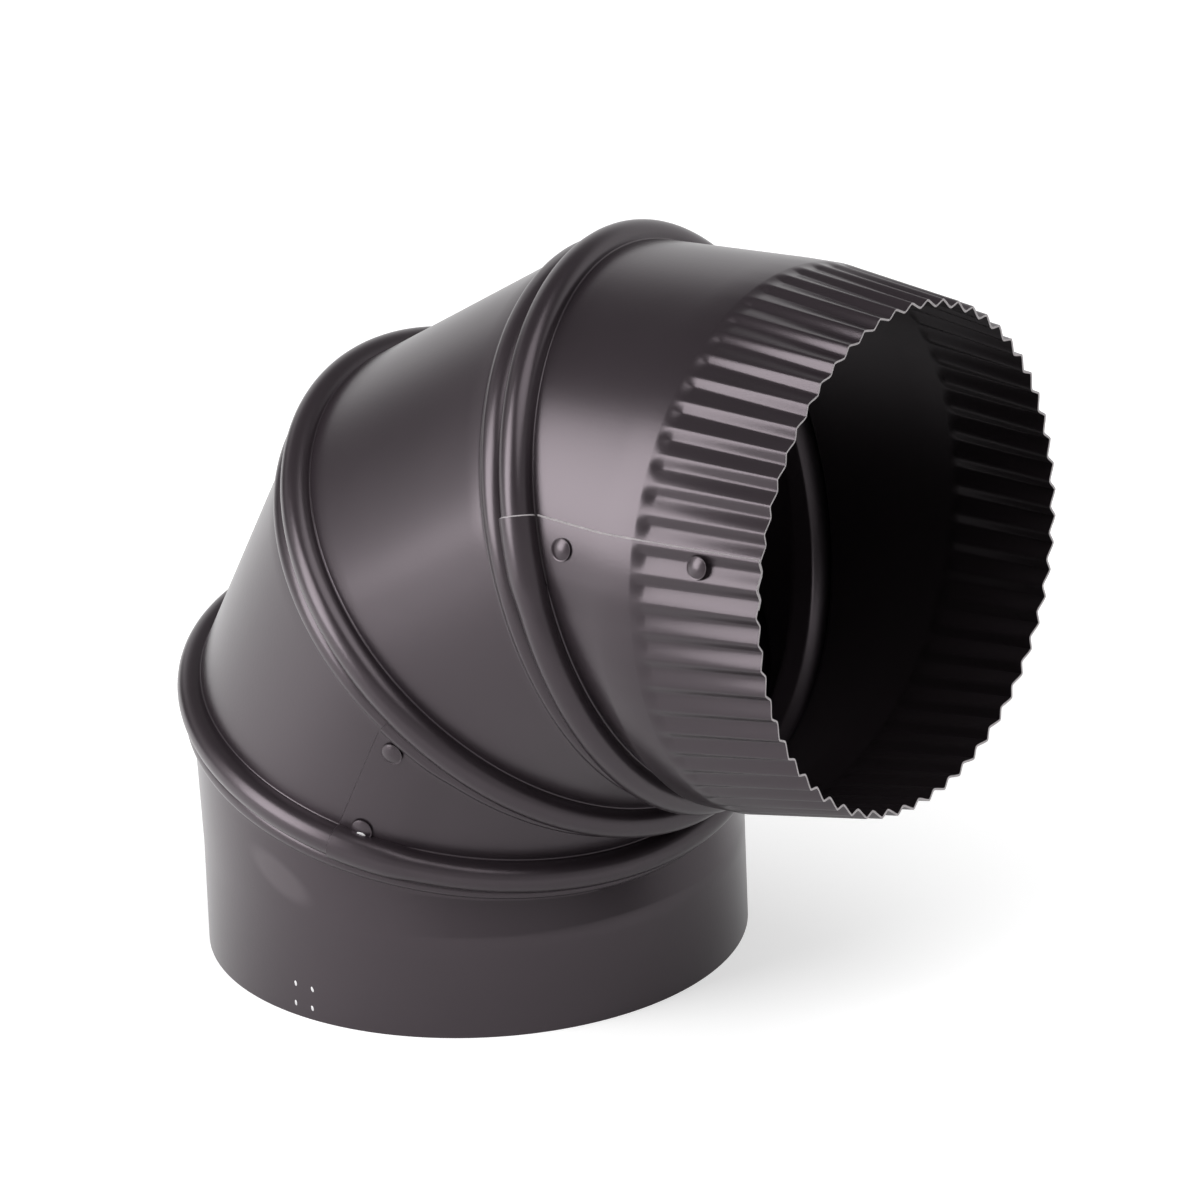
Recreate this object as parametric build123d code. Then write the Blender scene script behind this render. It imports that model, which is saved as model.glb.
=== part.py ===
from build123d import *
from math import acos, cos, degrees, radians, sin
import os

# Adjustable stove pipe elbow for 6 inch flue pipe, rolled from thin sheet steel.
# Four short tubes are held to each other by three rolled beads that swivel.
# The plain end stands on the floor round the origin, the crimped end opens towards +X.

# Driving dimensions, in millimetres and degrees

# Sheet and pipe
sheet = 0.6
bore_radius = 76.2
plain_end_depth = 30.0
plain_end_blend = 8.3

# Swivel joints: each joint plane leans by the tilt from the tubes on both sides of it
swivel_tilt = 15.0
throat_wall = 0.8
first_heading = -14.5
swivel_turns = (21.6, 5.5, -41.0)

# Rolled bead of the outer tube, seen in a section through the swivel axis
bead_radius = 4.6
bead_rise = 6.2
bead_neck = 0.9
lip_angle = 73.0

# Flange of the inner tube, which runs inside the bead
play = 0.3
ridge_rise = 2.7
ridge_start = 8.1
ridge_foot = 0.3
ridge_lean = 0.9
ridge_top = 1.7
neck_rise = 1.9
neck_start = 4.3
neck_end = 2.9
flange_edge = 1.0

# Crimped end
crimp_count = 59
crimp_length = 38.5
crimp_run_out = 5.0
crimp_depth = 2.8
crimp_taper = 4.1
crimp_step = 0.15
crest_share = 0.14
groove_share = 0.14
band_length = 10.0
band_blend = 6.0

# Riveted lap seam along each tube
lap_width = 15.0
rivet_inset = 6.5
near_seam_angle = -90.0
far_seam_angle = 90.0
crimped_seam_angle = -80.0

# Rivets
shank_radius = 1.6
head_radius = 3.0
head_height = 1.6
tail_radius = 2.4
tail_height = 1.0
head_gap = 0.3
tail_gap = 0.6
socket_rivet_space = 4.5
bead_rivet_space = 10.5
flange_rivet_space = 16.0
band_rivet_space = 17.5
mouth_rivet_space = 16.5

# Sizes that follow from the driving dimensions
wall_radius = bore_radius + sheet
bead_centre = wall_radius + bead_rise - bead_radius
crease_angle = degrees(acos((wall_radius - bead_centre) / bead_radius))
inner_crease_angle = degrees(acos((bore_radius - bead_centre) / (bead_radius - sheet)))
bead_top = bead_radius * sin(radians(crease_angle)) + bead_neck
flange_radius = bead_radius - sheet - play
half_lean = wall_radius * sin(radians(swivel_tilt))
bead_reach = bead_top * cos(radians(swivel_tilt))
ridge_reach = ridge_start * cos(radians(swivel_tilt))
gore_length = 2 * half_lean + bead_reach + ridge_reach + throat_wall
lower_height = plain_end_depth + plain_end_blend + ridge_reach + half_lean
band_start = bead_reach + half_lean + band_blend
crimp_start = band_start + band_length
mouth = crimp_start + crimp_length

# Frames of the joints and tubes; a tube's Z runs along it, X points to its throat
tilt = Rot(Y=swivel_tilt)
lower_frame = Rot(Z=first_heading)
first_joint = lower_frame * Pos(Z=lower_height) * tilt
second_tube = first_joint * Rot(Z=swivel_turns[0]) * tilt
second_joint = second_tube * Pos(Z=gore_length) * tilt
third_tube = second_joint * Rot(Z=swivel_turns[1]) * tilt
third_joint = third_tube * Pos(Z=gore_length) * tilt
fourth_tube = third_joint * Rot(Z=swivel_turns[2]) * tilt

# The joint below a tube, and the joint above it, in the tube's own frame
joint_below = Rot(Y=-swivel_tilt)


def joint_above(height):
    return Pos(Z=height) * tilt


def turn(section):
    """Revolve a section of (radius, height) points round the joint's axis."""
    return revolve(Plane.XZ * section, axis=Axis.Z)


def bead_ring(extra=0.0):
    """Outer tube's bead from the wall over the crest to the lip; extra thickens it outwards."""
    centre = (bead_centre, 0)
    outer_radius = bead_radius + extra
    outer_wall = wall_radius + extra
    outer_crease = degrees(acos((outer_wall - bead_centre) / outer_radius))
    outer = CenterArc(centre, outer_radius, -lip_angle, lip_angle + outer_crease)
    inner = CenterArc(centre, bead_radius - sheet, -lip_angle, lip_angle + inner_crease_angle)
    neck = Polyline(outer @ 1, (outer_wall, bead_top), (bore_radius, bead_top), inner @ 1)
    return turn(make_face([outer, neck, inner, Line(outer @ 0, inner @ 0)]))


def sheet_strip(outer):
    """Section of a folded strip: the outer line, and the same line one sheet to its left."""
    inner = []
    for number, point in enumerate(outer):
        before = Vector(*outer[max(number - 1, 0)])
        here = Vector(*point)
        after = Vector(*outer[min(number + 1, len(outer) - 1)])
        legs = [leg for leg in (here - before, after - here) if leg.length]
        sides = [leg.normalized().rotate(Axis.Z, 90) for leg in legs]
        mitre = (sides[0] + sides[-1]).normalized()
        inner.append(here + mitre * (sheet / mitre.dot(sides[0])))
    return make_face(Polyline(*outer, *reversed(inner), close=True))


def flange_ring():
    """Inner tube's end: a flare, a ridge below the lip, a neck, and a flange inside the bead."""
    ridge_radius = wall_radius + ridge_rise
    neck_radius = wall_radius + neck_rise
    foot_top = -ridge_start + ridge_foot
    ridge_low = foot_top + ridge_lean
    edge_radius = bead_centre + (flange_radius**2 - flange_edge**2) ** 0.5
    outer = [
        (wall_radius, -ridge_start),
        (wall_radius, foot_top),
        (ridge_radius, ridge_low),
        (ridge_radius, ridge_low + ridge_top),
        (neck_radius, -neck_start),
        (neck_radius, -neck_end),
        (edge_radius, -flange_edge),
    ]
    return turn(sheet_strip(outer))


def disc(place, radius):
    return place * Circle(radius)


def tube_between(low_place, high_place, radius):
    """Plain tube wall, filled, between two round ends that may lean."""
    return loft([disc(low_place, radius), disc(high_place, radius)], ruled=True)


def lap_wedge(seam_angle, length):
    """Sector that holds the outer layer of a lap seam, from its raw edge round to its root."""
    reach = wall_radius + 2 * bead_rise
    lap_angle = degrees(lap_width / wall_radius)
    arc = CenterArc((0, 0), reach, seam_angle, lap_angle)
    sector = make_face([Line((0, 0), arc @ 0), arc, Line(arc @ 1, (0, 0))])
    return extrude(Pos(Z=-length) * sector, 3 * length)


def crimp_outline(height, crest_radius, depth):
    """Closed outline of the crimped wall: narrow crests and grooves with straight flanks."""
    pitch = 360.0 / crimp_count
    flank_share = (1.0 - crest_share - groove_share) / 2.0
    groove_radius = crest_radius - depth
    corners = [
        (0.0, crest_radius),
        (crest_share, crest_radius),
        (crest_share + flank_share, groove_radius),
        (1.0 - flank_share, groove_radius),
    ]
    points = []
    for crimp in range(crimp_count):
        for share, radius in corners:
            angle = radians((crimp + share) * pitch)
            points.append((radius * cos(angle), radius * sin(angle)))
    return Pos(Z=height) * make_face(Polyline(*points, close=True))


def crimped_wall(growth):
    """Filled crimped end; the outlines run from a smooth ring to full crimps at the mouth."""
    start_radius = wall_radius + growth - crimp_step
    run_out_drop = crimp_taper * crimp_run_out / crimp_length
    sections = [
        crimp_outline(crimp_start, start_radius, 0.0),
        crimp_outline(crimp_start + crimp_run_out, start_radius - run_out_drop, crimp_depth),
        crimp_outline(mouth, start_radius - crimp_taper, crimp_depth),
    ]
    return loft(sections, ruled=True)


def rivet_place(seam_angle, height, seat_radius):
    """Frame of a rivet: Z points out of the tube, origin where the head sits on the lap."""
    angle = seam_angle + degrees(rivet_inset / wall_radius)
    return Rot(Z=angle) * Pos(X=seat_radius, Z=height) * Rot(Y=90)


def rivet(grip):
    """Domed head outside, a plain shank through both layers and a flat tail inside."""
    dome_radius = (head_radius**2 + head_height**2) / (2 * head_height)
    dome = Pos(Z=head_height - dome_radius) * Sphere(dome_radius)
    head = dome & Pos(Z=head_height) * Cylinder(2 * head_radius, 2 * head_height)
    shank = Pos(Z=-grip / 2) * Cylinder(shank_radius, grip)
    tail = Pos(Z=-grip - tail_height / 2) * Cylinder(tail_radius, tail_height)
    return head + shank + tail


def rivet_hole(grip):
    return Pos(Z=-grip / 2) * Cylinder(shank_radius, 2 * grip)


def lower_collar():
    """Plain end: a straight socket, then a wall that leans over to the first joint's flange."""
    flange = joint_above(lower_height)
    flange_root = flange * Pos(Z=-ridge_start)
    straight = Pos(Z=plain_end_depth)

    def body(radius):
        socket = extrude(Circle(radius), plain_end_depth)
        return socket + tube_between(straight, flange_root, radius)

    lap = body(wall_radius + sheet) & lap_wedge(far_seam_angle, lower_height)
    return body(wall_radius) + lap - body(bore_radius) + flange * flange_ring()


def middle_gore(seam_angle):
    """Middle tube: a bead at its lower end, a flange at its upper end and a leaning wall."""
    bead_end = joint_below * Pos(Z=bead_top)
    flange = joint_above(gore_length)
    flange_root = flange * Pos(Z=-ridge_start)
    wedge = lap_wedge(seam_angle, gore_length)
    outer = tube_between(bead_end, flange_root, wall_radius)
    lap = tube_between(bead_end, flange_root, wall_radius + sheet) & wedge
    bore = tube_between(bead_end, flange_root, bore_radius)
    bead_lap = joint_below * bead_ring(sheet) & wedge
    wall = outer + lap - bore
    return wall + joint_below * bead_ring() + bead_lap + flange * flange_ring()


def crimped_collar():
    """Upper tube: a bead at its lower end, a plain band, and the crimped end with its mouth."""
    bead_end = joint_below * Pos(Z=bead_top)
    wedge = lap_wedge(crimped_seam_angle, mouth)

    def plain(radius):
        blend = tube_between(bead_end, Pos(Z=band_start), radius)
        band = extrude(Pos(Z=band_start) * Circle(radius), band_length)
        return blend + band

    def body(growth):
        return plain(wall_radius + growth) + crimped_wall(growth)

    shell = body(0.0) - body(-sheet)
    lap = (body(sheet) - body(0.0)) & wedge
    bead_lap = joint_below * bead_ring(sheet) & wedge
    return shell + lap + joint_below * bead_ring() + bead_lap


def rivet_spots():
    """Seam angle, height, seat radius and grip of each tube's two rivets."""
    seat = wall_radius + sheet + head_gap
    grip = head_gap + 2 * sheet + tail_gap
    crimp_seat = seat - crimp_taper * (1.0 - mouth_rivet_space / crimp_length)
    gore_heights = (bead_rivet_space, gore_length - flange_rivet_space)
    collar_heights = (plain_end_depth + socket_rivet_space, lower_height - flange_rivet_space)
    return {
        "lower_collar": [(far_seam_angle, height, seat, grip) for height in collar_heights],
        "lower_gore": [(near_seam_angle, height, seat, grip) for height in gore_heights],
        "upper_gore": [(far_seam_angle, height, seat, grip) for height in gore_heights],
        "crimped_collar": [
            (crimped_seam_angle, band_rivet_space, seat, grip),
            (crimped_seam_angle, mouth - mouth_rivet_space, crimp_seat, grip + crimp_depth),
        ],
    }


tubes = {
    "lower_collar": (lower_frame, lower_collar()),
    "lower_gore": (second_tube, middle_gore(near_seam_angle)),
    "upper_gore": (third_tube, middle_gore(far_seam_angle)),
    "crimped_collar": (fourth_tube, crimped_collar()),
}

os.makedirs("parts", exist_ok=True)
for name, (frame, tube) in tubes.items():
    rivets = []
    for seam_angle, height, seat_radius, grip in rivet_spots()[name]:
        place = rivet_place(seam_angle, height, seat_radius)
        tube = tube - place * rivet_hole(grip)
        rivets.append(frame * place * rivet(grip))
    export_step(frame * tube, f"parts/{name}.step")
    export_step(Compound(children=rivets), f"parts/{name}_rivets.step")
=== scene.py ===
from math import acos, cos, degrees, pi, radians, sin, sqrt, tan

import bmesh
import bpy
import numpy as np
from mathutils import Matrix, Vector


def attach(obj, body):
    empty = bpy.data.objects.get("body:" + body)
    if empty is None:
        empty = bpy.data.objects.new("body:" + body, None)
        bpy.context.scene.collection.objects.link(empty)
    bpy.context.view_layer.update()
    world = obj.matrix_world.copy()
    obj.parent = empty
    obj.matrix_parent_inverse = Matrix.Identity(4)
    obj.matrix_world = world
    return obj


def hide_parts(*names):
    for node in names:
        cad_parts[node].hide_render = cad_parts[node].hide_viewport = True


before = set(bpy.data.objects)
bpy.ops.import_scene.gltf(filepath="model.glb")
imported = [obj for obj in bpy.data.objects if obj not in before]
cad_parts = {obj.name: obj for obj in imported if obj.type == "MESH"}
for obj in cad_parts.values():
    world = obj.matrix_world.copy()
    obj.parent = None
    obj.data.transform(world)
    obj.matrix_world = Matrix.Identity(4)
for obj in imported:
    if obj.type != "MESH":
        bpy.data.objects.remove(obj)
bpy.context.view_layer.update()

# Sizes of the elbow, in millimetres and degrees; MM turns millimetres into metres
MM = 0.001
sheet = 0.6
bore_radius = 76.2
wall_radius = bore_radius + sheet
swivel_tilt = 15.0
first_heading = -14.5
swivel_turns = (21.6, 5.5, -41.0)
plain_end_depth = 30.0
plain_end_blend = 8.3
throat_wall = 0.8

# Bead of the outer tube; slack keeps its crest just inside the solid's
bead_radius = 4.6
bead_rise = 6.2
bead_neck = 0.9
lip_angle = 73.0
play = 0.3
slack = 0.03
crease_cut = 8.0
crease_lift = 0.05
crease_round = 0.45

# Flanged end of the inner tube, measured down from the swivel's plane
ridge_rise = 2.7
ridge_start = 8.1
ridge_foot = 0.3
ridge_lead = 1.8
ridge_lean = 0.9
ridge_end = 5.2
neck_rise = 1.6
neck_start = 4.3
neck_end = 2.9
flange_edge = 0.2
neck_roundings = [0.4, 0.5]

# Outside the bend the ridge's foot spreads by ridge_spread, and its other sizes grow by shares of that;
# each rounding of the ridge is its least radius and its growth
ridge_spread = 5.5
rise_growth = 0.1
lean_growth = 0.25
end_growth = 0.24
ridge_roundings = [(0.7, 0.35), (1.3, 0.45), (1.5, 0.7)]

# The flanged end from inside
flare_lead = 1.0
flare_rise = 1.6
flare_end = 3.2
flare_roundings = [2.5, 2.0]
rim_inset = 0.4
rim_lift = 0.45

# Crimped end: the depth grows from crimp_first to crimp_depth, and crimp_long is the long flank's share
crimp_count = 59
crimp_length = 38.5
crimp_run_out = 4.8
crimp_first = 0.9
crimp_depth = 2.0
crimp_taper = 5.0
crimp_long = 0.62
crimp_offset = 0.4
crimp_sharp = 0.65
crimp_soft = 0.35
band_length = 10.0
band_blend = 6.0

# Lap seams
lap_width = 15.0
lap_fade = 12.0
lap_gap = 0.08
seam_bevel = 0.4
near_seam_angle = -89.1
far_seam_angle = 90.0
crimped_seam_angle = -80.0

# Rivets: spaces run along the tube, insets run round it from the raw edge of the lap
socket_rivet_space = 4.5
bead_rivet_space = 8.6
flange_rivet_space = 16.0
band_rivet_space = 18.3
mouth_rivet_space = 18.0
rivet_inset = 6.5
near_bead_inset = 5.3
near_flange_inset = 3.4
near_flange_shift = 0.3
mouth_rivet_inset = 5.2
head_radius = 3.2
head_height = 0.85
head_edge = 0.25
head_undercut = 0.15
head_gap = 0.1
rivet_grip = 2.0
shank_share = 0.6
tail_radius = 2.4
tail_height = 1.0

# Bare marks, of which the chip on a rivet head is also a painted glint: a prick is (angle round the
# plain end, height, lean), sizes are (half height, half width), and the rings of a mark are (share of
# its size, rise above the paint)
mark_rise = 0.06
mark_rings = ((1.0, -0.1), (0.8, mark_rise * 0.7), (0.4, mark_rise))
prick_spots = [(-80.7, 9.8, 8.0), (-76.2, 9.5, 20.0), (-80.9, 3.7, 8.0), (-76.4, 3.55, 12.0)]
prick_size = (0.95, 0.5)
# The chip's pale colour is bare metal and partly a painted glint on the rivet head
chip_glint_shift = (1.1, 0.5, 0.74)
chip_glint_tip = 10
chip_glint_turn = 15
chip_glint_size = (0.75, 1.4)

# Sizes that follow
bead_centre = wall_radius + bead_rise - bead_radius
crease_angle = degrees(acos((wall_radius - bead_centre) / bead_radius))
bead_top = bead_radius * sin(radians(crease_angle)) + bead_neck
edge_radius = bead_centre + sqrt((bead_radius - sheet - play)**2 - flange_edge**2)
half_lean = wall_radius * sin(radians(swivel_tilt))
bead_reach = bead_top * cos(radians(swivel_tilt))
ridge_reach = ridge_start * cos(radians(swivel_tilt))
gore_length = 2 * half_lean + bead_reach + ridge_reach + throat_wall
lower_height = plain_end_depth + plain_end_blend + ridge_reach + half_lean
band_start = bead_reach + half_lean + band_blend
crimp_start = band_start + band_length
mouth = crimp_start + crimp_length

# Mesh density: columns run round a tube, rows run along it
columns = 360
lap_columns = 12
crimp_columns = 16
bead_steps = 18
corner_steps = 6
crease_steps = 5
flare_steps = 8
socket_rows = 6
blend_rows = 10
gore_rows = 12
band_rows = 5
run_out_rows = 9
crimp_rows = 7
flange_rows = 22
lap_blend_rows = 8
dome_steps = 10
rivet_sides = 40
mark_sides = 20

# Material slots of a sheet, after the paint outside
edge_slot = 1
inside_slot = 2


# Frames of the tubes: Z runs along a tube, X points to its throat
def turn_y(angle):
    return Matrix.Rotation(radians(angle), 4, "Y")


def turn_z(angle):
    return Matrix.Rotation(radians(angle), 4, "Z")


def up(height):
    return Matrix.Translation((0, 0, height))


tilt = turn_y(swivel_tilt)
tube_1 = turn_z(first_heading)
tube_2 = tube_1 @ up(lower_height) @ tilt @ turn_z(swivel_turns[0]) @ tilt
tube_3 = tube_2 @ up(gore_length) @ tilt @ turn_z(swivel_turns[1]) @ tilt
tube_4 = tube_3 @ up(gore_length) @ tilt @ turn_z(swivel_turns[2]) @ tilt
joint_below = turn_y(-swivel_tilt)


def joint_above(height):
    return up(height) @ tilt


# Sections of the rolled sheet, as (radius, height) points from below upwards
def rounded(points, radii, steps=corner_steps):
    """A line through the points with each inner corner rounded to its radius."""
    line = [Vector(points[0])]
    for before, corner, after, radius in zip(points, points[1:], points[2:], radii):
        corner = Vector(corner)
        back = (Vector(before) - corner).normalized()
        ahead = (Vector(after) - corner).normalized()
        half = acos(max(-1.0, min(1.0, back.dot(ahead)))) / 2
        cut = radius / tan(half)
        centre = corner + (back + ahead).normalized() * (radius / sin(half))
        first = corner + back * cut - centre
        last = corner + ahead * cut - centre
        sweep = pi - 2 * half
        for step in range(steps + 1):
            share = step / steps
            weight_1 = sin((1 - share) * sweep) / sin(sweep)
            weight_2 = sin(share * sweep) / sin(sweep)
            line.append(centre + first * weight_1 + last * weight_2)
    line.append(Vector(points[-1]))
    return line


def bead_section():
    """Outer tube's bead: from the lip over the crest to the crease, then the start of the wall."""
    last_angle = crease_angle - crease_cut
    points = []
    for step in range(bead_steps + 1):
        angle = radians(-lip_angle + (lip_angle + last_angle) * step / bead_steps)
        radius = bead_centre + (bead_radius - slack) * cos(angle)
        points.append(Vector((radius, (bead_radius - slack) * sin(angle))))
    crease = (wall_radius, bead_radius * sin(radians(crease_angle)) + crease_lift)
    foot = rounded([points[-1], crease, (wall_radius, bead_top)], [crease_round], crease_steps)
    return points + foot[1:]


def flange_section(angle):
    """Inner tube's end: from the wall over the round ridge to the neck and the flange.

    The ridge is broad on the outside of the bend and narrow in the throat, where there is
    no room for more.
    """
    reach = ridge_spread * (1 - cos(angle)) / 2
    ridge_radius = wall_radius + ridge_rise + rise_growth * reach
    neck_radius = wall_radius + neck_rise
    foot = -ridge_start + ridge_foot - reach
    corners = [
        (wall_radius, foot - ridge_lead),
        (wall_radius, foot),
        (ridge_radius, foot + ridge_lean + lean_growth * reach),
        (ridge_radius, -ridge_end - end_growth * reach),
        (neck_radius, -neck_start),
        (neck_radius, -neck_end),
        (edge_radius, -flange_edge),
    ]
    roundings = [least + growth * reach for least, growth in ridge_roundings]
    return rounded(corners, roundings + neck_roundings)[1:]


def flare_section(count):
    """The same end from inside, where it reads as one smooth flare.

    It has as many points as asked, evenly spaced.
    """
    corners = [
        (bore_radius, -ridge_start - flare_lead),
        (bore_radius, -ridge_start),
        (bore_radius + flare_rise, -flare_end),
        (edge_radius - rim_inset, -flange_edge + rim_lift),
    ]
    line = np.array(rounded(corners, flare_roundings, flare_steps))
    run = np.concatenate([[0], np.cumsum(np.linalg.norm(np.diff(line, axis=0), axis=1))])
    spots = np.linspace(0, run[-1], count)
    return list(zip(np.interp(spots, run, line[:, 0]), np.interp(spots, run, line[:, 1])))


def side_at(angle):
    return Vector((cos(angle), sin(angle), 0))


def ring(section, place, angle):
    """Points of a section at one angle round a joint."""
    side = side_at(angle)
    return [place @ (side * radius + Vector((0, 0, height))) for radius, height in section]


def between(start, end, count):
    """Points between two others, without either."""
    return [start.lerp(end, (step + 1) / (count + 1)) for step in range(count)]


# Outer skin of each tube, at one angle
def lower_collar_line(angle):
    flange = ring(flange_section(angle), joint_above(lower_height), angle)
    foot = side_at(angle) * wall_radius
    straight = foot + Vector((0, 0, plain_end_depth))
    socket = [foot] + between(foot, straight, socket_rows) + [straight]
    return socket + between(straight, flange[0], blend_rows) + flange


def middle_gore_line(angle):
    bead = ring(bead_section(), joint_below, angle)
    flange = ring(flange_section(angle), joint_above(gore_length), angle)
    return bead + between(bead[-1], flange[0], gore_rows) + flange


def crimped_collar_line(angle):
    bead = ring(bead_section(), joint_below, angle)
    side = side_at(angle) * wall_radius
    band = side + Vector((0, 0, band_start))
    start = side + Vector((0, 0, crimp_start))
    end = side * ((wall_radius - crimp_taper) / wall_radius) + Vector((0, 0, mouth))
    run_out = start.lerp(end, crimp_run_out / crimp_length)
    crimps = between(start, run_out, run_out_rows) + [run_out] + between(run_out, end, crimp_rows)
    return bead + between(bead[-1], band, band_rows) + [band, start] + crimps + [end]


def smooth_step(value):
    value = min(max(value, 0.0), 1.0)
    return value * value * (3 - 2 * value)


def crimp_dip(angle, height):
    """How far the crimped wall lies below its crests.

    The crimps are a saw tooth, long on one side, with a rounded start.
    """
    run = smooth_step((height - crimp_start) / crimp_run_out)
    depth = crimp_first + (crimp_depth - crimp_first) * (height - crimp_start) / crimp_length
    phase = (angle / (2 * pi) * crimp_count - crimp_offset) % 1.0
    if phase < crimp_long:
        share = phase / crimp_long / 2
    else:
        share = 0.5 + (phase - crimp_long) / (1 - crimp_long) / 2
    sharp = abs(2 * share - 1)
    soft = 0.5 + 0.5 * cos(2 * pi * share)
    return depth * run * (crimp_sharp * sharp + crimp_soft * soft)


def surface_normals(skin, turns):
    """Outward normals of a grid of points, which has one column per turn."""
    along = np.gradient(skin, axis=1)
    across = np.gradient(skin, np.array(turns), axis=0)
    normal = np.cross(across, along)
    return normal / np.linalg.norm(normal, axis=2, keepdims=True)


def sheet_mesh(name, line_at, tube, seam_angle, flange=None, dip=None, count=columns, bare_and_highlit_seam=False):
    """Rolled sheet with its lap: the outer layer starts at the seam, the inner one ends below it.

    flange is the place of the flanged end, whose last rows stay single outside as they run
    inside a bead. dip is how far the wall is pressed in at an angle and a height.
    """
    lap = lap_width / wall_radius
    fade = lap_fade / wall_radius
    layer = sheet + lap_gap
    start = radians(seam_angle)
    turns = [2 * pi * step / count for step in range(count)]
    turns += [2 * pi + lap * step / lap_columns for step in range(lap_columns + 1)]
    turns = sorted(set(turns) | {lap, lap / 2})
    skin = np.array([[tuple(point) for point in line_at(start + turn)] for turn in turns])
    normal = surface_normals(skin, turns)
    lift = np.array([layer * (1 - smooth_step((turn - lap) / fade)) for turn in turns])
    lift = np.repeat(lift[:, None], skin.shape[1], axis=1)
    if flange is not None:
        under = np.array([layer * smooth_step((turn - 2 * pi + fade) / fade) for turn in turns])
        rows_left = np.arange(-skin.shape[1], 0)
        single = np.clip((rows_left + flange_rows) / lap_blend_rows + 1, 0, 1)
        lift = lift * (1 - single) - under[:, None] * single
    if dip is not None:
        lift -= [[dip(start + turn, point[2]) for point in line] for turn, line in zip(turns, skin)]
    skin = skin + normal * lift[:, :, None]
    if dip is not None:
        normal = surface_normals(skin, turns)
    inner = skin - normal * sheet
    if flange is not None:
        rows = len(flange_section(0))
        flare = flare_section(rows)
        flared = [ring(flare, flange, start + turn) for turn in turns]
        inner[:, -rows:] = [[tuple(point) for point in line] for line in flared]
    ahead = skin[1] - skin[0]
    skin[0] += ahead / np.linalg.norm(ahead, axis=1, keepdims=True) * seam_bevel
    return solid_sheet(name, skin, inner, tube, bare_and_highlit_seam)


def solid_sheet(name, outer, inner, place, bare_and_highlit_seam):
    """Closed mesh from an outer and an inner grid of points.

    The two ends are bare cut edges, and so are both edges of the lap if asked; their pale colour is
    bare steel and partly a painted highlight.
    """
    wide, tall = outer.shape[:2]
    points = np.concatenate([outer.reshape(-1, 3), inner.reshape(-1, 3)]) * MM
    half = wide * tall
    faces = []

    def spot(column, row, side):
        return side * half + column * tall + row

    def add_edge(here, there, flip):
        face = (spot(*here, 0), spot(*here, 1), spot(*there, 1), spot(*there, 0))
        faces.append(face[::-1] if flip else face)

    for column in range(wide - 1):
        for row in range(tall - 1):
            a, b = spot(column, row, 0), spot(column + 1, row, 0)
            faces.append((a, b, b + 1, a + 1))
            a, b = spot(column, row, 1), spot(column + 1, row, 1)
            faces.append((a, a + 1, b + 1, b))
    for column in range(wide - 1):
        add_edge((column, 0), (column + 1, 0), False)
        add_edge((column, tall - 1), (column + 1, tall - 1), True)
    for row in range(tall - 1):
        add_edge((0, row), (0, row + 1), True)
        add_edge((wide - 1, row), (wide - 1, row + 1), False)
    mesh = bpy.data.meshes.new(name)
    scaled = place.copy()
    scaled.translation = place.translation * MM
    mesh.from_pydata([tuple(scaled @ Vector(point)) for point in points], [], faces)
    skin_faces = 2 * (wide - 1) * (tall - 1)
    bare_faces = len(faces) if bare_and_highlit_seam else skin_faces + 2 * (wide - 1)
    slots = np.zeros(len(faces), dtype=np.int32)
    slots[1:skin_faces:2] = inside_slot
    slots[skin_faces:bare_faces] = edge_slot
    mesh.polygons.foreach_set("material_index", slots)
    mesh.update()
    return smooth_object(name, mesh, 50.0)


def add_object(name, data):
    piece = bpy.data.objects.new(name, data)
    bpy.context.scene.collection.objects.link(piece)
    return piece


def smooth_object(name, mesh, sharp):
    """Object with smooth faces, but sharp where they meet at more than an angle."""
    mesh.shade_smooth()
    mesh.set_sharp_from_angle(angle=radians(sharp))
    return add_object(name, mesh)


# Rivets and marks
def circle(sides):
    return [2 * pi * step / sides for step in range(sides)]


def rivet_section():
    """Half section of a rivet from the top of its head to the bottom of its tail."""
    dome = (head_radius**2 + head_height**2) / (2 * head_height)
    rim = acos(1 - head_height / dome)
    shank_radius = tail_radius * shank_share
    tail_end = -rivet_grip - tail_height
    turns = [rim * step / dome_steps for step in range(dome_steps)]
    line = [(dome * sin(turn), head_height - dome * (1 - cos(turn))) for turn in turns]
    line += [(head_radius, head_edge), (head_radius - head_undercut, 0.0), (shank_radius, 0.0)]
    line += [(shank_radius, -rivet_grip), (tail_radius, -rivet_grip)]
    return line + [(tail_radius, tail_end), (0.0, tail_end)]


def rivet_mesh(name, places):
    """A tube's rivets as one mesh."""
    shape = bmesh.new()
    for place in places:
        rows = []
        for radius, height in rivet_section():
            turns = circle(rivet_sides) if radius else [0.0]
            spots = [place @ Vector((radius * cos(a), radius * sin(a), height)) for a in turns]
            rows.append([shape.verts.new(point * MM) for point in spots])
        for upper, lower in zip(rows, rows[1:]):
            for step in range(rivet_sides):
                after = (step + 1) % rivet_sides
                corners = [upper[step % len(upper)], lower[step % len(lower)]]
                corners += [lower[after % len(lower)], upper[after % len(upper)]]
                shape.faces.new(list(dict.fromkeys(corners)))
    mesh = bpy.data.meshes.new(name)
    shape.to_mesh(mesh)
    shape.free()
    return smooth_object(name, mesh, 40.0)


def rivet_place(tube, seam_angle, height, seat, inset):
    angle = seam_angle + degrees(inset / wall_radius)
    return tube @ turn_z(angle) @ Matrix.Translation((seat, 0, height)) @ turn_y(90)


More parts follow.
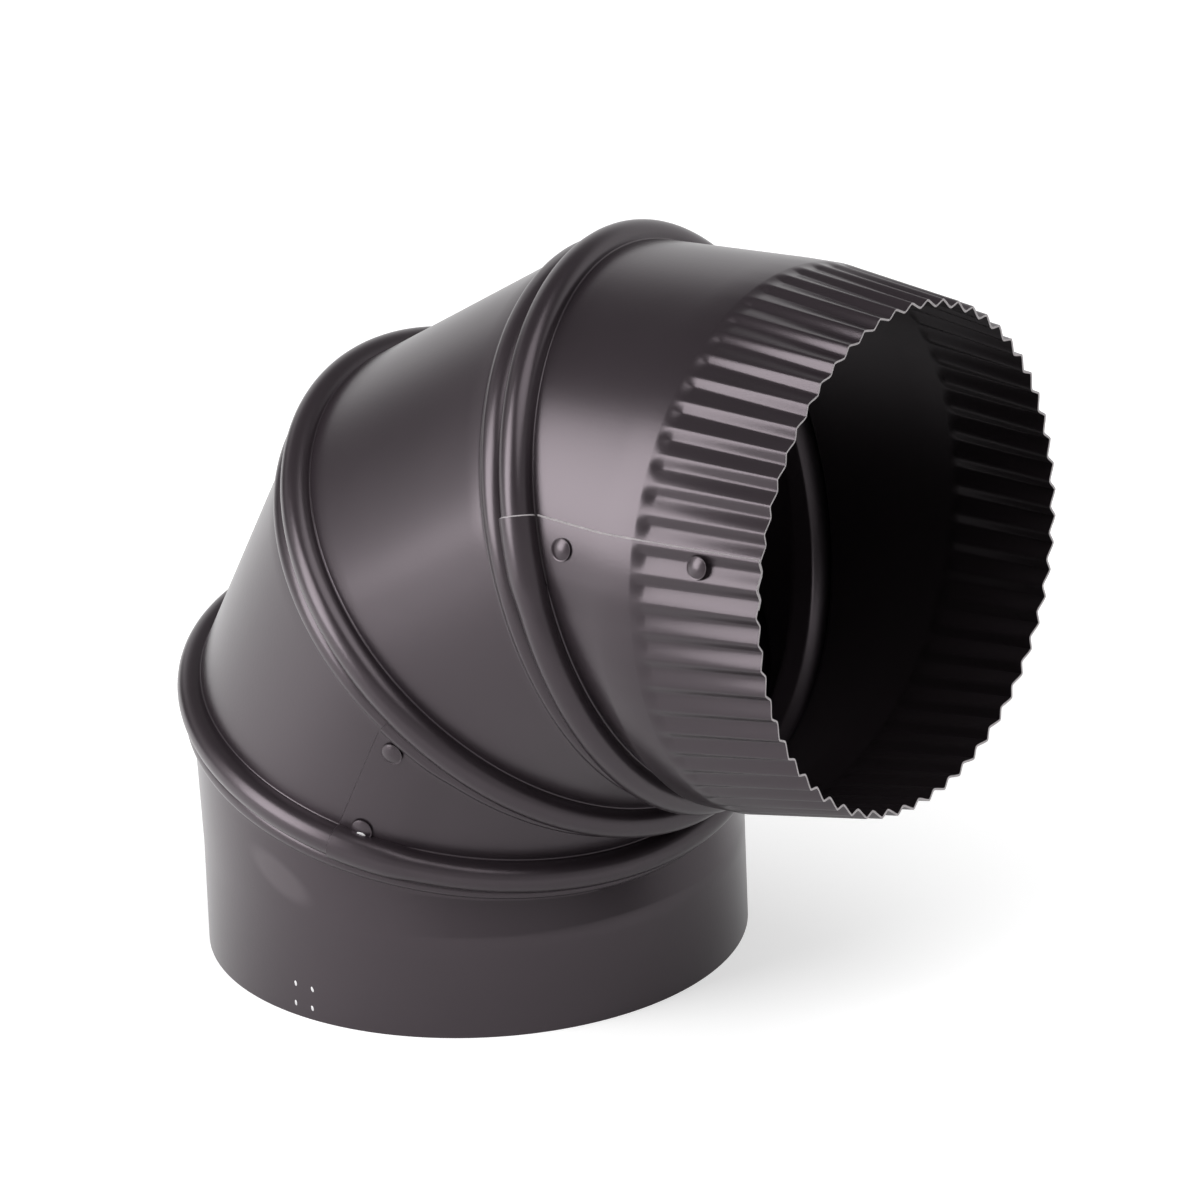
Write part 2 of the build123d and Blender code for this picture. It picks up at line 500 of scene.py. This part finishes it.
def mark_mesh(name, places, tall, wide):
    """Flat lens-shaped marks, each lying at its place with its own Z outwards."""
    shape = bmesh.new()
    for place in places:
        rings = []
        for share, rise in mark_rings:
            turns = circle(mark_sides)
            spread = [(tall * share * cos(a), wide * share * sin(a), rise) for a in turns]
            rings.append([shape.verts.new((place @ Vector(point)) * MM) for point in spread])
        for outer, inner in zip(rings, rings[1:]):
            for step in range(mark_sides):
                after = (step + 1) % mark_sides
                shape.faces.new((outer[step], outer[after], inner[after], inner[step]))
        shape.faces.new(rings[-1])
        shape.faces.new(rings[0][::-1])
    mesh = bpy.data.meshes.new(name)
    shape.to_mesh(mesh)
    shape.free()
    mesh.materials.append(bare_mark_and_glint)
    return smooth_object(name, mesh, 60.0)


def prick_place(angle, height, lean):
    at = Matrix.Translation((wall_radius, 0, height))
    return turn_z(first_heading + angle) @ at @ turn_y(90) @ turn_z(lean)


# Looks: the paint's mottle and grain, and the smear on the plain end tube in millimetres and degrees
paint_colour = (0.018, 0.0138, 0.0164)
paint_tint = (1.0, 0.87, 0.95, 1)
paint_roughness = 0.30
paint_shine = 0.75
mottle_scale = 22.0
mottle_detail = 4.0
mottle_low = 0.3
mottle_high = 0.7
mottle_dark = 0.88
mottle_light = 1.1
mottle_gloss = 0.03
grain_scale = 900.0
grain_detail = 2.0
grain_strength = 0.03
grain_depth = 0.0005
smear_centre = (-11.7, -75.9, 41.5)
smear_half = (15.0, 20.0, 5.7)
smear_slant = 25.0
smear_outer = 1.0
smear_inner = 0.5
smear_colour = (0.050, 0.043, 0.047, 1)
# The crimped collar's inside is a darker, duller copy of the stove paint: its colour is painted shade
# inside the tube
inside_shade_colour = (0.009, 0.007, 0.008)
inside_roughness = 0.45
inside_shine = 0.4
rivet_colour = (0.021, 0.016, 0.019)
rivet_roughness = 0.28
# Cut edges: pale bare steel that is partly a painted highlight along the lips, the mouth and the
# crimped collar's seam
edge_and_highlight_colour = (0.5, 0.47, 0.48)
edge_roughness = 0.45
# Pale bare metal of the prick marks and the chip, whose brightness on the rivet is partly a painted
# glint
mark_and_glint_colour = (0.8, 0.79, 0.8)
mark_roughness = 0.5
bare_metallic = 0.3
streak_scale = 400.0
streak_dark = 0.7
streak_light = 1.2


def new_material(name):
    """A material with its nodes, its links and its shader."""
    material = bpy.data.materials.new(name)
    material.use_nodes = True
    nodes = material.node_tree.nodes
    return material, nodes, material.node_tree.links, nodes["Principled BSDF"]


def scaled_colour(base, share):
    return (*[share * part for part in base], 1)


def painted_steel(name, base, roughness, shine=paint_shine, smear=False):
    """Satin stove paint: dark warm grey with a faint mottle and a fine grain, and a smear if asked."""
    material, nodes, links, shader = new_material(name)
    shader.inputs["Specular IOR Level"].default_value = shine
    shader.inputs["Specular Tint"].default_value = paint_tint
    place = nodes.new("ShaderNodeTexCoord")
    mottle = nodes.new("ShaderNodeTexNoise")
    mottle.inputs["Scale"].default_value = mottle_scale
    mottle.inputs["Detail"].default_value = mottle_detail
    links.new(place.outputs["Object"], mottle.inputs["Vector"])
    colour = nodes.new("ShaderNodeValToRGB")
    colour.color_ramp.elements[0].position = mottle_low
    colour.color_ramp.elements[0].color = scaled_colour(base, mottle_dark)
    colour.color_ramp.elements[1].position = mottle_high
    colour.color_ramp.elements[1].color = scaled_colour(base, mottle_light)
    links.new(mottle.outputs["Fac"], colour.inputs["Fac"])
    shade = colour.outputs["Color"]
    if smear:
        shade = add_smear(nodes, links, place, shade)
    links.new(shade, shader.inputs["Base Color"])
    gloss = nodes.new("ShaderNodeMapRange")
    gloss.inputs["To Min"].default_value = roughness - mottle_gloss
    gloss.inputs["To Max"].default_value = roughness + mottle_gloss
    links.new(mottle.outputs["Fac"], gloss.inputs["Value"])
    links.new(gloss.outputs["Result"], shader.inputs["Roughness"])
    grain = nodes.new("ShaderNodeTexNoise")
    grain.inputs["Scale"].default_value = grain_scale
    grain.inputs["Detail"].default_value = grain_detail
    links.new(place.outputs["Object"], grain.inputs["Vector"])
    bump = nodes.new("ShaderNodeBump")
    bump.inputs["Strength"].default_value = grain_strength
    bump.inputs["Distance"].default_value = grain_depth
    links.new(grain.outputs["Fac"], bump.inputs["Height"])
    links.new(bump.outputs["Normal"], shader.inputs["Normal"])
    return material


def add_smear(nodes, links, place, shade):
    """Pale oval smear, as from a thumb, that lies slanting on the wall."""
    oval = nodes.new("ShaderNodeMapping")
    oval.vector_type = "TEXTURE"
    oval.inputs["Location"].default_value = [part * MM for part in smear_centre]
    oval.inputs["Rotation"].default_value = (0, radians(smear_slant), 0)
    oval.inputs["Scale"].default_value = [part * MM for part in smear_half]
    links.new(place.outputs["Object"], oval.inputs["Vector"])
    reach = nodes.new("ShaderNodeVectorMath")
    reach.operation = "LENGTH"
    links.new(oval.outputs["Vector"], reach.inputs[0])
    mask = nodes.new("ShaderNodeMapRange")
    mask.interpolation_type = "SMOOTHSTEP"
    mask.inputs["From Min"].default_value = smear_outer
    mask.inputs["From Max"].default_value = smear_inner
    links.new(reach.outputs["Value"], mask.inputs["Value"])
    mix = nodes.new("ShaderNodeMix")
    mix.data_type = "RGBA"
    links.new(mask.outputs["Result"], mix.inputs["Factor"])
    links.new(shade, mix.inputs["A"])
    mix.inputs["B"].default_value = smear_colour
    return mix.outputs["Result"]


def bare_steel_and_highlight(name, base, roughness):
    """Bare metal of cut edges and small marks, with a fine uneven sheen; its pale colour is partly a
    painted highlight on the edges and a painted glint on the rivet's chip.
    """
    material, nodes, links, shader = new_material(name)
    shader.inputs["Metallic"].default_value = bare_metallic
    shader.inputs["Roughness"].default_value = roughness
    place = nodes.new("ShaderNodeTexCoord")
    streak = nodes.new("ShaderNodeTexNoise")
    streak.inputs["Scale"].default_value = streak_scale
    links.new(place.outputs["Object"], streak.inputs["Vector"])
    colour = nodes.new("ShaderNodeValToRGB")
    colour.color_ramp.elements[0].color = scaled_colour(base, streak_dark)
    colour.color_ramp.elements[1].color = scaled_colour(base, streak_light)
    links.new(streak.outputs["Fac"], colour.inputs["Fac"])
    links.new(colour.outputs["Color"], shader.inputs["Base Color"])
    return material


paint = painted_steel("stove paint", paint_colour, paint_roughness)
smeared_paint = painted_steel("stove paint with a smear", paint_colour, paint_roughness, smear=True)
shaded_inside_paint = painted_steel("paint inside darkened as painted shade", inside_shade_colour, inside_roughness, inside_shine)
rivet_paint = painted_steel("rivet paint", rivet_colour, rivet_roughness)
raw_edge_and_highlight = bare_steel_and_highlight("cut edge with painted highlight", edge_and_highlight_colour, edge_roughness)
bare_mark_and_glint = bare_steel_and_highlight("bare mark and painted glint", mark_and_glint_colour, mark_roughness)

# The four tubes, each with its frame, the angle of its seam and the line of its skin
tubes = {
    "lower_collar": (tube_1, far_seam_angle, lower_collar_line),
    "lower_gore": (tube_2, near_seam_angle, middle_gore_line),
    "upper_gore": (tube_3, far_seam_angle, middle_gore_line),
    "crimped_collar": (tube_4, crimped_seam_angle, crimped_collar_line),
}
for node, (tube, seam_angle, line_at) in tubes.items():
    name = node + "_skin"
    if node == "crimped_collar":
        count = crimp_count * crimp_columns
        # The crimped collar's seam edges get the pale edge colour, which is partly a painted highlight
        piece = sheet_mesh(name, line_at, tube, seam_angle, dip=crimp_dip, count=count, bare_and_highlit_seam=True)
    else:
        flange = joint_above(lower_height if node == "lower_collar" else gore_length)
        piece = sheet_mesh(name, line_at, tube, seam_angle, flange)
    piece.data.materials.append(smeared_paint if node == "lower_collar" else paint)
    piece.data.materials.append(raw_edge_and_highlight)
    # The crimped collar's inside gets the darker paint, which is painted shade
    piece.data.materials.append(shaded_inside_paint if node == "crimped_collar" else paint)
    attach(piece, node + "_body")
    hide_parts(node)

# The rivets of each tube, as (height, seat, inset)
seat = wall_radius + sheet + lap_gap + head_gap
crimp_seat = seat - crimp_taper * (1 - mouth_rivet_space / crimp_length)
upper_rivet = gore_length - flange_rivet_space
rivet_spots = {
    "lower_collar": [
        (plain_end_depth + socket_rivet_space, seat, rivet_inset),
        (lower_height - flange_rivet_space, seat, rivet_inset),
    ],
    "lower_gore": [
        (bead_rivet_space, seat, near_bead_inset),
        (upper_rivet + near_flange_shift, seat, near_flange_inset),
    ],
    "upper_gore": [
        (bead_rivet_space, seat, rivet_inset),
        (upper_rivet, seat, rivet_inset),
    ],
    "crimped_collar": [
        (band_rivet_space, seat, rivet_inset),
        (mouth - mouth_rivet_space, crimp_seat, mouth_rivet_inset),
    ],
}
for node, (tube, seam_angle, line_at) in tubes.items():
    places = [rivet_place(tube, seam_angle, *spot) for spot in rivet_spots[node]]
    piece = rivet_mesh(node + "_rivet_heads", places)
    piece.data.materials.append(rivet_paint)
    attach(piece, node + "_body")
    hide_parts(node + "_rivets")

# Small bare marks: four prick marks near the foot of the plain end, and a chip on one rivet head that
# is partly a painted glint
pricks = mark_mesh("prick_marks", [prick_place(*spot) for spot in prick_spots], *prick_size)
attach(pricks, "lower_collar_body")
chipped_glinting_head = rivet_place(tube_2, near_seam_angle, *rivet_spots["lower_gore"][0])
chip_glint_place = chipped_glinting_head @ Matrix.Translation(chip_glint_shift) @ turn_y(chip_glint_tip) @ turn_z(chip_glint_turn)
chip_glint = mark_mesh("rivet_chip_and_glint", [chip_glint_place], *chip_glint_size)
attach(chip_glint, "lower_gore_body")

# Floor and surround: heights are sines of the elevation, the rest is in degrees and metres
back_azimuth = 130.0
back_level = 1.0
front_level = 0.6
surround_low = 0.31
surround_high = 0.68
ceiling_level = 0.12
gap_azimuth = 178.0
gap_inner = 6.0
gap_outer = 30.0
gap_level = 0.03
ambient_level = 0.3
floor_half = 6.0
floor_white = 0.6
floor_roughness = 0.9
floor_glow = 0.6
# The floor's glow in the gloss is painted light: brighter towards the key, darker on the far side
floor_gloss_painted_light = 0.84
floor_gloss_painted_shade = 0.25
floor_painted_light_fade = 0.12
key_side = 155.0
light_aim = (0.03, 0, 0.12)


def toward(nodes, links, vector, azimuth):
    """How far a vector reaches towards an azimuth, on the level."""
    along = nodes.new("ShaderNodeVectorMath")
    along.operation = "DOT_PRODUCT"
    along.inputs[1].default_value = (cos(radians(azimuth)), sin(radians(azimuth)), 0)
    links.new(vector, along.inputs[0])
    return along.outputs["Value"]


def direct_view(nodes, links, ray):
    """One for rays from the camera and rays let through a surface, nought for all others."""
    direct = nodes.new("ShaderNodeMath")
    direct.operation = "MAXIMUM"
    links.new(ray.outputs["Is Camera Ray"], direct.inputs[0])
    links.new(ray.outputs["Is Transmission Ray"], direct.inputs[1])
    return direct.outputs["Value"]


def floor():
    """White sweep with its own glow to the camera and in the gloss, so that shadows on it stay soft; in
    the gloss the glow is a painted pool of light, brighter on the key's side and darker on the far
    side.
    """
    size = floor_half
    mesh = bpy.data.meshes.new("floor")
    corners = [(-size, -size, 0), (size, -size, 0), (size, size, 0), (-size, size, 0)]
    mesh.from_pydata(corners, [], [(0, 1, 2, 3)])
    material, nodes, links, shader = new_material("white sweep")
    shader.inputs["Base Color"].default_value = (floor_white, floor_white, floor_white, 1)
    shader.inputs["Roughness"].default_value = floor_roughness
    shader.inputs["Specular IOR Level"].default_value = 0.0
    ray = nodes.new("ShaderNodeLightPath")
    seen = nodes.new("ShaderNodeMath")
    seen.operation = "MULTIPLY"
    seen.inputs[1].default_value = floor_glow
    links.new(direct_view(nodes, links, ray), seen.inputs[0])
    place = nodes.new("ShaderNodeTexCoord")
    side = nodes.new("ShaderNodeMapRange")
    side.interpolation_type = "SMOOTHSTEP"
    side.inputs["From Min"].default_value = -floor_painted_light_fade
    side.inputs["From Max"].default_value = floor_painted_light_fade
    side.inputs["To Min"].default_value = floor_gloss_painted_shade
    side.inputs["To Max"].default_value = floor_gloss_painted_light
    links.new(toward(nodes, links, place.outputs["Object"], key_side), side.inputs["Value"])
    glow_with_painted_light = nodes.new("ShaderNodeMath")
    glow_with_painted_light.operation = "MULTIPLY_ADD"
    links.new(ray.outputs["Is Glossy Ray"], glow_with_painted_light.inputs[0])
    links.new(side.outputs["Result"], glow_with_painted_light.inputs[1])
    links.new(seen.outputs["Value"], glow_with_painted_light.inputs[2])
    shader.inputs["Emission Color"].default_value = (1, 1, 1, 1)
    links.new(glow_with_painted_light.outputs["Value"], shader.inputs["Emission Strength"])
    mesh.materials.append(material)
    return add_object("floor", mesh)


def soft_box(name, place, aim, width, height, power):
    light = bpy.data.lights.new(name, "AREA")
    light.shape = "RECTANGLE"
    light.size = width
    light.size_y = height
    light.energy = power
    lamp = add_object(name, light)
    lamp.location = place
    lamp.rotation_euler = (Vector(aim) - Vector(place)).to_track_quat("-Z", "Y").to_euler()
    return lamp


def studio_world():
    """White to the camera; to the gloss a white surround with a dark ceiling and one dark gap."""
    world = bpy.data.worlds.new("studio")
    bpy.context.scene.world = world
    world.use_nodes = True
    nodes = world.node_tree.nodes
    links = world.node_tree.links
    seen = nodes["Background"]
    seen.inputs["Color"].default_value = (1, 1, 1, 1)
    seen.inputs["Strength"].default_value = 1.0
    place = nodes.new("ShaderNodeTexCoord")
    direction = place.outputs["Generated"]
    split = nodes.new("ShaderNodeSeparateXYZ")
    links.new(direction, split.inputs["Vector"])
    height = nodes.new("ShaderNodeMapRange")
    height.interpolation_type = "SMOOTHSTEP"
    height.inputs["From Min"].default_value = surround_low
    height.inputs["From Max"].default_value = surround_high
    height.inputs["To Max"].default_value = ceiling_level
    links.new(split.outputs["Z"], height.inputs["Value"])
    back = nodes.new("ShaderNodeMapRange")
    back.inputs["From Min"].default_value = -1.0
    back.inputs["To Min"].default_value = front_level
    back.inputs["To Max"].default_value = back_level
    links.new(toward(nodes, links, direction, back_azimuth), back.inputs["Value"])
    links.new(back.outputs["Result"], height.inputs["To Min"])
    gap = nodes.new("ShaderNodeMapRange")
    gap.interpolation_type = "SMOOTHSTEP"
    gap.inputs["From Min"].default_value = cos(radians(gap_outer))
    gap.inputs["From Max"].default_value = cos(radians(gap_inner))
    gap.inputs["To Min"].default_value = 1.0
    gap.inputs["To Max"].default_value = gap_level
    links.new(toward(nodes, links, direction, gap_azimuth), gap.inputs["Value"])
    level = nodes.new("ShaderNodeMath")
    level.operation = "MULTIPLY"
    links.new(height.outputs["Result"], level.inputs[0])
    links.new(gap.outputs["Result"], level.inputs[1])
    glossy = nodes.new("ShaderNodeBackground")
    glossy.inputs["Color"].default_value = (1, 1, 1, 1)
    links.new(level.outputs["Value"], glossy.inputs["Strength"])
    even = nodes.new("ShaderNodeBackground")
    even.inputs["Color"].default_value = (1, 1, 1, 1)
    even.inputs["Strength"].default_value = ambient_level
    ray = nodes.new("ShaderNodeLightPath")
    by_gloss = nodes.new("ShaderNodeMixShader")
    links.new(ray.outputs["Is Glossy Ray"], by_gloss.inputs["Fac"])
    links.new(even.outputs["Background"], by_gloss.inputs[1])
    links.new(glossy.outputs["Background"], by_gloss.inputs[2])
    by_camera = nodes.new("ShaderNodeMixShader")
    links.new(direct_view(nodes, links, ray), by_camera.inputs["Fac"])
    links.new(by_gloss.outputs["Shader"], by_camera.inputs[1])
    links.new(seen.outputs["Background"], by_camera.inputs[2])
    links.new(by_camera.outputs["Shader"], nodes["World Output"].inputs["Surface"])


def camera():
    """Long lens from the front right, a little above, with a slight roll."""
    target = Vector((58.2, -14.5, 118.2)) * MM
    azimuth = radians(36.56)
    elevation = radians(23.33)
    roll = radians(-2.22)
    distance = 3.049
    back = Vector((sin(azimuth) * cos(elevation), -cos(azimuth) * cos(elevation), sin(elevation)))
    right = (-back).cross(Vector((0, 0, 1))).normalized()
    top = right.cross(-back)
    turned_right = right * cos(roll) + top * sin(roll)
    turned_top = top * cos(roll) - right * sin(roll)
    lens = bpy.data.cameras.new("camera")
    lens.sensor_width = 36.0
    lens.lens = 330.3
    lens.clip_end = 50.0
    view = add_object("camera", lens)
    view.matrix_world = Matrix((
        (turned_right.x, turned_top.x, back.x, target.x + back.x * distance),
        (turned_right.y, turned_top.y, back.y, target.y + back.y * distance),
        (turned_right.z, turned_top.z, back.z, target.z + back.z * distance),
        (0, 0, 0, 1),
    ))
    bpy.context.scene.camera = view


floor()
soft_box("key", (-0.60, -1.09, 0.754), light_aim, width=0.836, height=1.25, power=20.7)
soft_box("fill", (0.86, -0.15, 1.93), light_aim, width=1.5, height=1.5, power=17)
overhead = soft_box("overhead", (0.3, 0.3, 2.2), (0.05, 0, 0), width=2.4, height=2.4, power=12)
overhead.visible_glossy = False
studio_world()
camera()
bpy.context.scene.view_settings.view_transform = "Standard"
